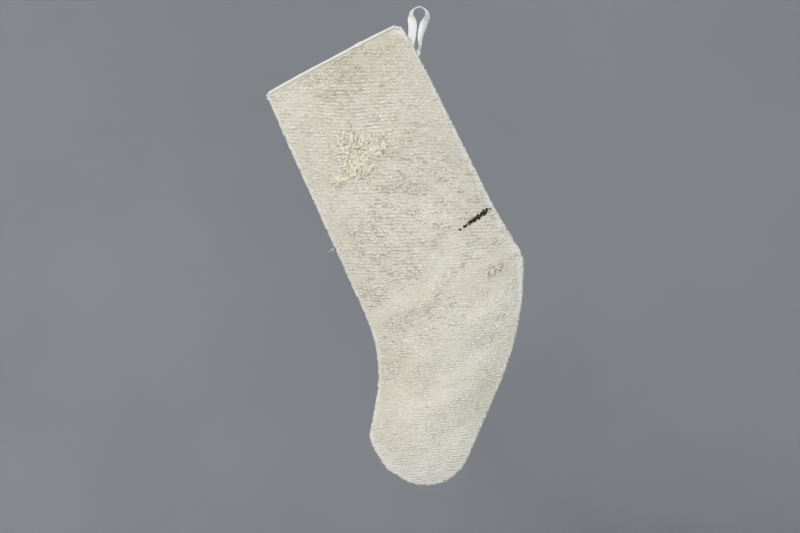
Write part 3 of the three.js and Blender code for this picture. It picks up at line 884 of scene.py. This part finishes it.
def mouth_path(start, end, toe_side=0.0, heel_side=0.0):
    """Spots along the mouth's edge and the directions out of it. The two lengths carry it round the
    mouth's ends and down the sides."""
    across = np.linspace(start, end, max(int((end - start) / 1.3), 4))
    spots = from_plane(across, 0.0)
    outwards = np.tile(-DOWN, (len(across), 1))
    ring = SEAM.ring
    if toe_side:
        more, out = corner_run(ring[0], ring[1], -ACROSS, toe_side)
        spots, outwards = np.vstack([more[::-1], spots]), np.vstack([out[::-1], outwards])
    if heel_side:
        more, out = corner_run(ring[-1], ring[-2], ACROSS, heel_side)
        spots, outwards = np.vstack([spots, more]), np.vstack([outwards, out])
    return spots, outwards


def binding_strip(path, height_at, wraps, drop, lift, slant=0.0, over=0.0, thin=None):
    """One closed strip folded over a cut edge. wraps is the thickness of what it holds."""
    spots, outwards = path
    forward = unit(np.gradient(spots, axis=0))
    at = run_along(spots)
    middle = height_at(spots - 1.5 * outwards)
    u = np.linspace(0, 1, 21)
    roll_turn = math.pi * np.clip((u - 0.3) / 0.4, 0, 1)
    leg = np.maximum(np.clip(1 - u / 0.3, 0, 1), np.clip((u - 0.7) / 0.3, 0, 1))
    near, far = [], []
    for k in range(len(spots)):
        puff = 0.25 * float(noise(at[k] / 9, spots[0, 0], 51)) + 0.15 * float(noise(at[k] / 3.1, 0.0, 52))
        ease = 1.0 if thin is None else thin(at[k] / at[-1])
        for made, extra in ((near, BINDING), (far, 0.0)):
            reach = (wraps / 2 + extra + 0.1 + lift - 0.9 * leg) * ease
            rise = (BINDING_RISE - BINDING + extra + over) * (1 + 0.16 * puff) * ease
            out = rise * np.sin(roll_turn) - leg * (drop + puff)
            line = spots[k] + out[:, None] * outwards[k] + (slant * drop * leg)[:, None] * forward[k]
            made.append(place(line, middle[k] + reach * np.cos(roll_turn)))
    return strip(np.array(near), np.array(far), u * 12.0, at)


def binding_pieces():
    """The rolled edge, with its front and its back half, and the lap where its ends meet."""
    cotton = woven_material("binding_cotton", (0.75, 0.745, 0.71), (0.54, 0.53, 0.47), 0.9, 0.16)
    over_front, over_back = RUG + 2 * LINING, CANVAS + 2 * LINING

    def rounded(share):
        return 0.3 + 0.7 * min(1.0, share / 0.06, (1 - share) / 0.06) ** 0.7

    halves = [
        binding_strip(mouth_path(2.4, MOUTH_WIDTH - 2.4, *BINDING_ENDS), front_height, over_front,
                      BINDING_DROP, 0.0, thin=rounded),
        binding_strip(mouth_path(-0.8, MOUTH_WIDTH + 0.2), back_height, over_back, BINDING_DROP, 0.0,
                      thin=rounded),
    ]
    lap = [binding_strip(mouth_path(*LAP), front_height, over_front, BINDING_DROP + 0.8, 0.9 * BINDING,
                         slant=0.9, over=0.5)]
    return strip_piece("binding", halves, cotton), strip_piece("binding_fold", lap, cotton)


def stitches():
    """A row of running stitches under the binding."""
    rng = np.random.default_rng(61)
    parts = []
    outer = RUG / 2 + LINING + BINDING - 0.6
    for a in np.arange(3.0, MOUTH_WIDTH - 3.5, STITCH_PITCH):
        t = np.linspace(0, 1, 6)
        across = a + 2.5 * t
        down = BINDING_DROP - 0.3 + 0.2 * rng.uniform(-1, 1) + 0.2 * t
        spot = from_plane(across, down)
        height = front_height(spot) + outer + 0.45 * np.sin(math.pi * t) - 0.35
        lifted = (across > LAP[0] - 2) & (across < LAP[1] + 2)
        parts.append(tube(spot, height + BINDING * lifted, 0.27))
    return wool_piece("binding_stitches", parts, thread_material(
        "stitch_thread", (0.74, 0.73, 0.69), (0.52, 0.50, 0.45)))


# ---------- tufts, yarn and fuzz ----------

def strand(root, heading, length, rise, lean, width, rng, sides=6):
    """A lock of wool that leaves the cloth at root, stands up by rise and falls over."""
    t = np.linspace(0, 1, 7)
    way = heading + 0.8 * rng.uniform(-1, 1) * t
    step = length * (lean + (1 - lean) * t) / len(t)
    run = np.cumsum(towards(way) * step[:, None], axis=0)
    line = root + run - run[0]
    height = rug_top(line) - 0.9 + rise * np.sin(math.pi * np.minimum(t * 0.72, 1)) + 0.8 * t
    radii = width / 2 * (0.8 + 0.35 * np.sin(math.pi * t)) * (1 - 0.72 * t ** 4)
    return tube(line, height, radii, sides=sides, flat=0.72)


def rosette():
    """A patch of longer pile in three clumps, its locks lying outwards from a parting."""
    rng = np.random.default_rng(71)
    low, high = box_of("pile_rosette")
    middle = np.array([(low[0] + high[0]) / 2, (low[2] + high[2]) / 2])
    parting = middle + ROSETTE_PARTING
    parts = []
    for x, z, wide, tall, locks in ROSETTE_CLUMPS:
        for k in range(locks):
            r = math.sqrt((k + 0.5) / locks)
            turn = k * GOLDEN_ANGLE + 0.3 * rng.uniform(-1, 1)
            edge = 1 + 0.12 * math.sin(3 * turn + 1.0) + 0.10 * math.sin(7 * turn)
            root = middle + (x, z) + edge * r * np.array([wide * math.cos(turn), tall * math.sin(turn)])
            away = root - parting
            heading = math.atan2(away[1], away[0]) + 0.5 * rng.normal()
            length = rng.uniform(5.0, 10.0)
            rise = (3.3 - 2.0 * r) * rng.uniform(0.4, 1.1)
            lean = 0.55 + 0.45 * r
            parts.append(strand(root, heading, length, rise, lean, rng.uniform(1.3, 2.7), rng))
            for _ in range(2):
                parts.append(strand(root + rng.uniform(-1, 1, 2), heading + 0.3 * rng.normal(),
                                    length * 1.05, rise + 0.5, lean, 0.5, rng, sides=4))
    # The last colour is painted shade at the roots of the locks.
    return wool_piece("rosette_locks", parts, pile_material(
        "pile_wool", (0.780, 0.745, 0.645), (0.660, 0.640, 0.480), (0.270, 0.240, 0.150)))


def heel_tuft():
    """A few thicker, yellower locks that lie up and to the right, and a pulled end below them."""
    rng = np.random.default_rng(72)
    low, high = box_of("heel_tuft")
    middle, size = (low + high) / 2, (high - low) / 2
    parts = []
    for _ in range(22):
        share = rng.uniform(-0.9, 0.8)
        spot = middle[[0, 2]] + share * size[[0, 2]] * (1, 0.55) + (0, 2.4 * rng.normal())
        heading = math.radians(30) + 0.3 * rng.normal()
        parts.append(strand(spot - (2.6, 1.4), heading, rng.uniform(5.0, 9.0), rng.uniform(1.0, 2.6), 0.8,
                            rng.uniform(1.4, 2.5), rng))
    t = np.linspace(0, 1, 14)
    trail = middle[[0, 2]] - (4.5, 5.0) + np.stack([-1.6 * np.sin(2.4 * t), -11.5 * t], -1)
    height = rug_top(trail) - 0.1 + 0.5 * np.sin(5 * t)
    parts.append(tube(trail, height, 0.75 * (1 - 0.5 * t)))
    # The last colour is painted shade at the roots of the locks.
    return wool_piece("heel_locks", parts, pile_material(
        "heel_wool", (0.75, 0.73, 0.60), (0.52, 0.49, 0.34), (0.22, 0.20, 0.12)))


def brown_yarn():
    """A darning of dark yarn: steep slanting stitches side by side, with a dot at each end."""
    rng = np.random.default_rng(73)
    low, high = (corner[[0, 2]] for corner in box_of("brown_yarn"))
    parts = []
    for share, turn, length, width in YARN_STITCHES:
        spot = low + (high - low) * share + 0.45 * rng.uniform(-1, 1, 2)
        angle = math.radians(turn + 15 * rng.uniform(-1, 1))
        half = rng.uniform(0.42, 0.6) * length * towards(angle)
        t = np.linspace(-1, 1, 9)
        line = spot + t[:, None] * half + 0.25 * rng.uniform(-1, 1, (9, 2))
        height = rug_top(line) - 0.5 + 1.4 * np.sqrt(np.clip(1 - t ** 2, 0, 1))
        radii = width / 2 * (0.55 + 0.45 * np.sqrt(np.clip(1 - t ** 4, 0, 1)))
        parts.append(tube(line, height, radii, sides=8, flat=0.7))
        for _ in range(5):
            hair = spot + rng.uniform(-1, 1, 2) * length * 0.35
            parts.append(strand(hair, rng.uniform(0, 2 * math.pi), rng.uniform(1.2, 2.4), 1.6, 0.7, 0.35,
                                rng, sides=3))
    return wool_piece("brown_stitches", parts, pile_material(
        "brown_wool", (0.030, 0.022, 0.013), (0.016, 0.012, 0.007), (0.008, 0.006, 0.004), sheen=0.04),
        shaded_roots=False)


def scattered(rng, count, inset):
    """Random spots on the front, all of them at least the inset away from its edge."""
    spots = rng.uniform(front_low[[0, 2]], front_high[[0, 2]], (count, 2))
    return spots[SEAM.well_inside(spots, inset)]


def nubs():
    """Short loops of weft that stand a little proud of the ribs, fewest on the smooth foot."""
    rng = np.random.default_rng(75)
    spots = scattered(rng, 2 * NUBS, 1.8)
    _, down = to_plane(spots)
    wanted = 0.5 + 0.6 * noise(spots[:, 0] / 19, spots[:, 1] / 17, 46) - 0.3 * smoothstep(down, 280, 380)
    spots = spots[rng.uniform(0, 1, len(spots)) < wanted]
    number = np.round(np.interp(-spots[:, 1], -RIB_LEVELS, RIB_NUMBERS)) + 0.5
    level = np.interp(number, RIB_NUMBERS, RIB_LEVELS)
    spots[:, 1] = weft_level(level, spots[:, 0]) + 0.5 * rng.normal(size=len(spots))
    spots = spots[SEAM.well_inside(spots, 1.8)]
    parts = []
    t = np.linspace(-1, 1, 5)
    for spot, top in zip(spots, rug_top(spots)):
        heading = 0.06 + 0.45 * rng.normal()
        half, bend = rng.uniform(0.8, 2.2), rng.uniform(-0.8, 0.8)
        ahead = towards(heading)
        aside = np.array([-ahead[1], ahead[0]])
        line = spot + (t * half)[:, None] * ahead + (bend * t ** 2)[:, None] * aside
        height = top - 0.5 + rng.uniform(0.5, 1.1) * (1 - t ** 2)
        radii = rng.uniform(0.42, 0.85) * (1 - 0.4 * t ** 2)
        parts.append(tube(line, height, radii, sides=5))
    for at in rng.uniform(0.03, 0.95, EDGE_NUBS) * SEAM.run[-1]:
        spot, forward, outwards = SEAM.frame(at)
        line = spot + (rng.uniform(0.7, 1.7) * t)[:, None] * forward
        line += (0.45 - 1.0 * t ** 2)[:, None] * outwards
        height = RUG_LIFT + rng.uniform(0.6, RUG - 0.4) + rng.uniform(-0.4, 0.4) * t
        parts.append(tube(line, height, rng.uniform(0.35, 0.8) * (1 - 0.4 * t ** 2), sides=5))
    return wool_piece("rug_nubs", parts, pile_material(
        "nub_wool", (0.800, 0.780, 0.710), (0.660, 0.620, 0.500), (0.60, 0.56, 0.45)), shaded_roots=False)


def fuzz():
    """Loose fibres over the wool, more of them along the silhouette, and a few pulled threads."""
    rng = np.random.default_rng(74)
    parts = []
    spots = scattered(rng, FUZZ, 2.0)
    for spot, top in zip(spots, rug_top(spots)):
        heading, length = rng.uniform(0, 2 * math.pi), rng.uniform(1.5, 4.0)
        t = np.linspace(0, 1, 5)
        way = heading + rng.uniform(-1.5, 1.5) * t
        line = spot + towards(way) * (length * t)[:, None]
        height = top - 0.4 + rng.uniform(0.6, 1.6) * np.sin(math.pi * 0.8 * t)
        parts.append(tube(line, height, rng.uniform(0.07, 0.15), sides=3))
    for _ in range(EDGE_FUZZ):
        spot, forward, outwards = SEAM.frame(rng.uniform(0.01, 0.99) * SEAM.run[-1])
        reach = rng.uniform(0.8, 2.6)
        t = np.linspace(0, 1, 6)
        bend = rng.uniform(-1.6, 1.6)
        line = (spot - outwards * 0.9 + outwards * (reach * np.sin(0.5 * math.pi * t))[:, None]
                + forward * (bend * t ** 2 * reach)[:, None])
        height = RUG_LIFT + rng.uniform(0.2, 2.8) + rng.uniform(-0.8, 1.2) * t
        parts.append(tube(line, height, rng.uniform(0.08, 0.17), sides=3))
    for x, z, turn, length in LOOSE_ENDS:
        t = np.linspace(0, 1, 8)
        way = math.radians(turn) + 0.7 * t
        line = np.array([x, z]) + length * t[:, None] * towards(way)
        parts.append(tube(line, RUG_LIFT + 2.0 + 1.5 * t, 0.32 * (1 - 0.5 * t), sides=5))
    return wool_piece("rug_fuzz", parts, pile_material(
        "fuzz_wool", (0.80, 0.78, 0.70), (0.70, 0.68, 0.58), (0.60, 0.57, 0.47)), shaded_roots=False)


# ---------- the hanging loop ----------

def leg_sections(side):
    """Sections of one leg of the tape, from the crown's foot down into the seam."""
    keys = LEFT_LEG if side < 0 else RIGHT_LEG
    z = np.arange(keys[0][0], keys[-1][0] - 0.01, -0.5)
    z = np.unique(np.concatenate([z, CUTS]))[::-1]
    table = np.array(keys)[::-1]
    values = []
    for column in range(1, table.shape[1]):
        fine = np.arange(table[0, 0] - 3, table[-1, 0] + 3, 0.25)
        curve = np.interp(fine, table[:, 0], table[:, column])
        soft = np.convolve(curve, np.ones(9) / 9, mode="same")
        soft[:9], soft[-9:] = curve[:9], curve[-9:]
        values.append(np.interp(z, fine, soft))
    x, y, turned, curl, squeeze = values
    middle = np.stack([x, y, z], -1)
    width = np.stack([side * np.sin(turned), np.cos(turned), np.zeros(len(z))], -1)
    return middle, width, curl, squeeze


def tape_strip(middle, width, curl, squeeze, run):
    """A closed strip of tape through sections, cupped by curl. run is the distance along it."""
    face = unit(np.cross(unit(np.gradient(middle, axis=0)), width))
    across = np.linspace(-TAPE_WIDTH / 2, TAPE_WIDTH / 2, 13)
    sides = []
    ripple = 0.12 * noise(run[:, None] / 4 + across * 0.11, across[None, :] / 5 + run[:, None] * 0, 81)
    for reach in (TAPE / 2, -TAPE / 2):
        angle = across[None, :] * (2 / TAPE_WIDTH) * curl[:, None]
        radius = TAPE_WIDTH / 2 / curl[:, None]
        thin = reach * (1 - 0.25 * (np.abs(across) > SELVEDGE * TAPE_WIDTH))[None, :]
        u = (radius + thin) * np.sin(angle)
        v = (radius * (1 - np.cos(angle)) - thin * np.cos(angle)) * squeeze[:, None] - ripple
        sides.append(middle[:, None] + u[..., None] * width[:, None] - v[..., None] * face[:, None])
    return strip(*sides, across, run)


def crown_width(arc):
    """The tape's width over the crown runs front to back, and starts to turn towards each leg."""
    turned = LEFT_LEG[0][3] * np.abs(np.cos(arc)) ** 2 * np.sign(np.cos(arc))
    outwards = np.stack([np.cos(arc), arc * 0, np.sin(arc)], -1)
    along = np.stack([np.sin(arc), arc * 0, -np.cos(arc)], -1)
    aside = np.cross(along, np.cross(outwards, along))
    return np.cos(turned)[:, None] * np.array([0.0, 1.0, 0.0]) + np.sin(np.abs(turned))[:, None] * aside


def loop_tape():
    """The tape in three pieces that meet where the loop is stiff, between its bending lines."""
    left, right = leg_sections(-1), leg_sections(1)
    arc = np.linspace(math.pi, 0, 25)[1:-1]
    top = LEFT_LEG[0][0]
    crown = (
        np.stack([LOOP_RADIUS * np.cos(arc), arc * 0, top + LOOP_RADIUS * np.sin(arc)], -1),
        crown_width(arc),
        np.full(len(arc), LEFT_LEG[0][4]),
        np.ones(len(arc)),
    )
    whole = [np.concatenate([a[::-1], b, c]) for a, b, c in zip(left, crown, right)]
    middle = whole[0]
    run = run_along(middle)
    split = len(left[0]) + len(arc) // 2
    is_left = np.arange(len(middle)) < split
    z, slack = middle[:, 2], 1e-6
    above, below = z >= CUTS[1] - slack, z <= CUTS[0] + slack
    between = (z <= CUTS[1] + slack) & (z >= CUTS[0] - slack)
    material = tape_material()
    pieces = []
    for name, picks in (
        ("loop_top", [above]),
        ("loop_middle", [is_left & between, ~is_left & between]),
        ("loop_foot", [is_left & below, ~is_left & below]),
    ):
        strips = [tape_strip(*(w[pick] for w in whole), run[pick]) for pick in picks]
        pieces.append(strip_piece(name, strips, material, sharp=50))
    return pieces


# ---------- studio ----------

def add_stage():
    """A round sweep: a pale floor well under the toe that turns up into a grey wall."""
    floor_z = cad_low.z / MM - FLOOR_DROP
    radius, bend, wall = 4300.0, 500.0, 3800.0
    profile = [(radius - bend, 0.0)]
    profile += [(radius - bend * (1 - math.sin(a)), bend * (1 - math.cos(a)))
                for a in np.linspace(0.1, math.pi / 2, 16)]
    profile.append((radius, wall))
    sides = 96
    angles = 2 * math.pi * np.arange(sides) / sides
    points = [(r * math.cos(a), r * math.sin(a), floor_z + h) for r, h in profile for a in angles]
    points.append((0, 0, floor_z))
    faces = grid_faces(len(profile), sides, wrap=True).tolist()
    faces += [[k, (k + 1) % sides, len(points) - 1] for k in range(sides)]
    rise = np.repeat([h for _, h in profile] + [0.0], [sides] * len(profile) + [1])
    n = Nodes("studio_sweep")
    wall_grey = n.tints(WALL_GREY, (n.noise(0.002, 2), 0.3, 0.7, 1.0, WALL_GREY_2))
    color = n.tints(FLOOR_GREY, (n.attribute("rise"), 0.0, 120.0, 1.0, wall_grey))
    sweep = add_mesh("studio_sweep", np.array(points), faces, n.finish(color, 0.95), {"rise": rise},
                     inwards=True)


def area_light(name, spot, target, size, power, color):
    data = bpy.data.lights.new(name, "AREA")
    data.shape = "DISK"
    data.size = size
    data.energy = power
    data.color = color
    lamp = add_object(name, data)
    lamp.location = spot
    lamp.rotation_euler = (target - lamp.location).to_track_quat("-Z", "Y").to_euler()


def add_camera_and_light():
    scene = bpy.context.scene
    middle = (cad_low + cad_high) / 2
    data = bpy.data.cameras.new("camera")
    data.lens = CAMERA_LENS
    data.clip_end = 100
    camera = add_object("camera", data)
    away = VIEW_WIDTH * (cad_high.z - cad_low.z) * data.lens / data.sensor_width
    camera.location = (middle.x + CAMERA_SHIFT[0], -away, middle.z + CAMERA_SHIFT[1])
    camera.rotation_euler = (math.pi / 2, 0, 0)
    scene.camera = camera
    world = bpy.data.worlds.new("studio")
    world.use_nodes = True
    background = next(n for n in world.node_tree.nodes if n.type == "BACKGROUND")
    background.inputs["Color"].default_value = (0.93, 0.96, 1.0, 1)
    background.inputs["Strength"].default_value = WORLD_LIGHT
    scene.world = world
    for name, spot, size, power, color in LIGHTS:
        area_light(name, spot, middle, size, power, color)
    scene.view_settings.view_transform = "Standard"


# ---------- the stocking ----------

def sewn(piece, slot, *nodes):
    """Rides a piece on the stocking and hides the nodes it stands for. The slot is not used."""
    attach(piece, "stocking")
    if nodes:
        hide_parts(*nodes)
    return piece


add_camera_and_light()
add_stage()
rug = sewn(panel("rug_front", SEAM, 1, RUG, RIB_PITCH[1] / RUG_ROWS, RUG_COLUMNS, front_height,
                 rug_weave, rug_material()), "rug_wool", "front_panel")
canvas = woven_material("back_canvas", (0.74, 0.70, 0.60), (0.42, 0.37, 0.28), 1.5, 0.3, worn=True)
back = sewn(panel("canvas_back", SEAM, -1, CANVAS, 1.0, 130, back_height, canvas_weave, canvas),
            "back_canvas", "back_panel")
cotton = woven_material("lining_cotton", (0.74, 0.73, 0.68), (0.50, 0.48, 0.42), 0.8, 0.12)
for node, side, height_at, outer in (
    ("lining_front", -1, front_lining_height, rug),
    ("lining_back", 1, back_lining_height, back),
):
    inner = sewn(panel(node + "_cloth", LINING_EDGE, side, LINING, 4.0, 40, height_at, canvas_weave,
                       cotton), "lining_cotton", node)
fold = sewn(seam_fold(), "back_canvas", "side_seam")
binding, lap = binding_pieces()
sewn(binding, "binding_cotton", "mouth_binding")
sewn(lap, "binding_cotton", "binding_lap")
sewn(stitches(), "stitch_thread", "binding_stitch")
sewn(rosette(), "pile_wool", "pile_rosette")
sewn(heel_tuft(), "pile_wool", "heel_tuft")
sewn(brown_yarn(), "brown_wool", "brown_yarn")
sewn(nubs(), "rug_wool")
sewn(fuzz(), "rug_wool")

top, middle, foot = loop_tape()
for piece, above, below, start, end, nodes, length in (
    (top, "crown", "loop_upper", -14.5, -21.8, ["loop_crown"], 0.055),
    (middle, "loop_upper", "loop_lower", CUTS[1] - 0.3, CUTS[0] + 0.3,
     ["loop_upper_left", "loop_upper_right"], 0.019),
    (foot, "loop_lower", "stocking", CUTS[0] - 1.0, -46.0,
     ["loop_lower_left", "loop_lower_right", "loop_tails"], 0.038),
):
    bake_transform(piece)
    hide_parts(*nodes)
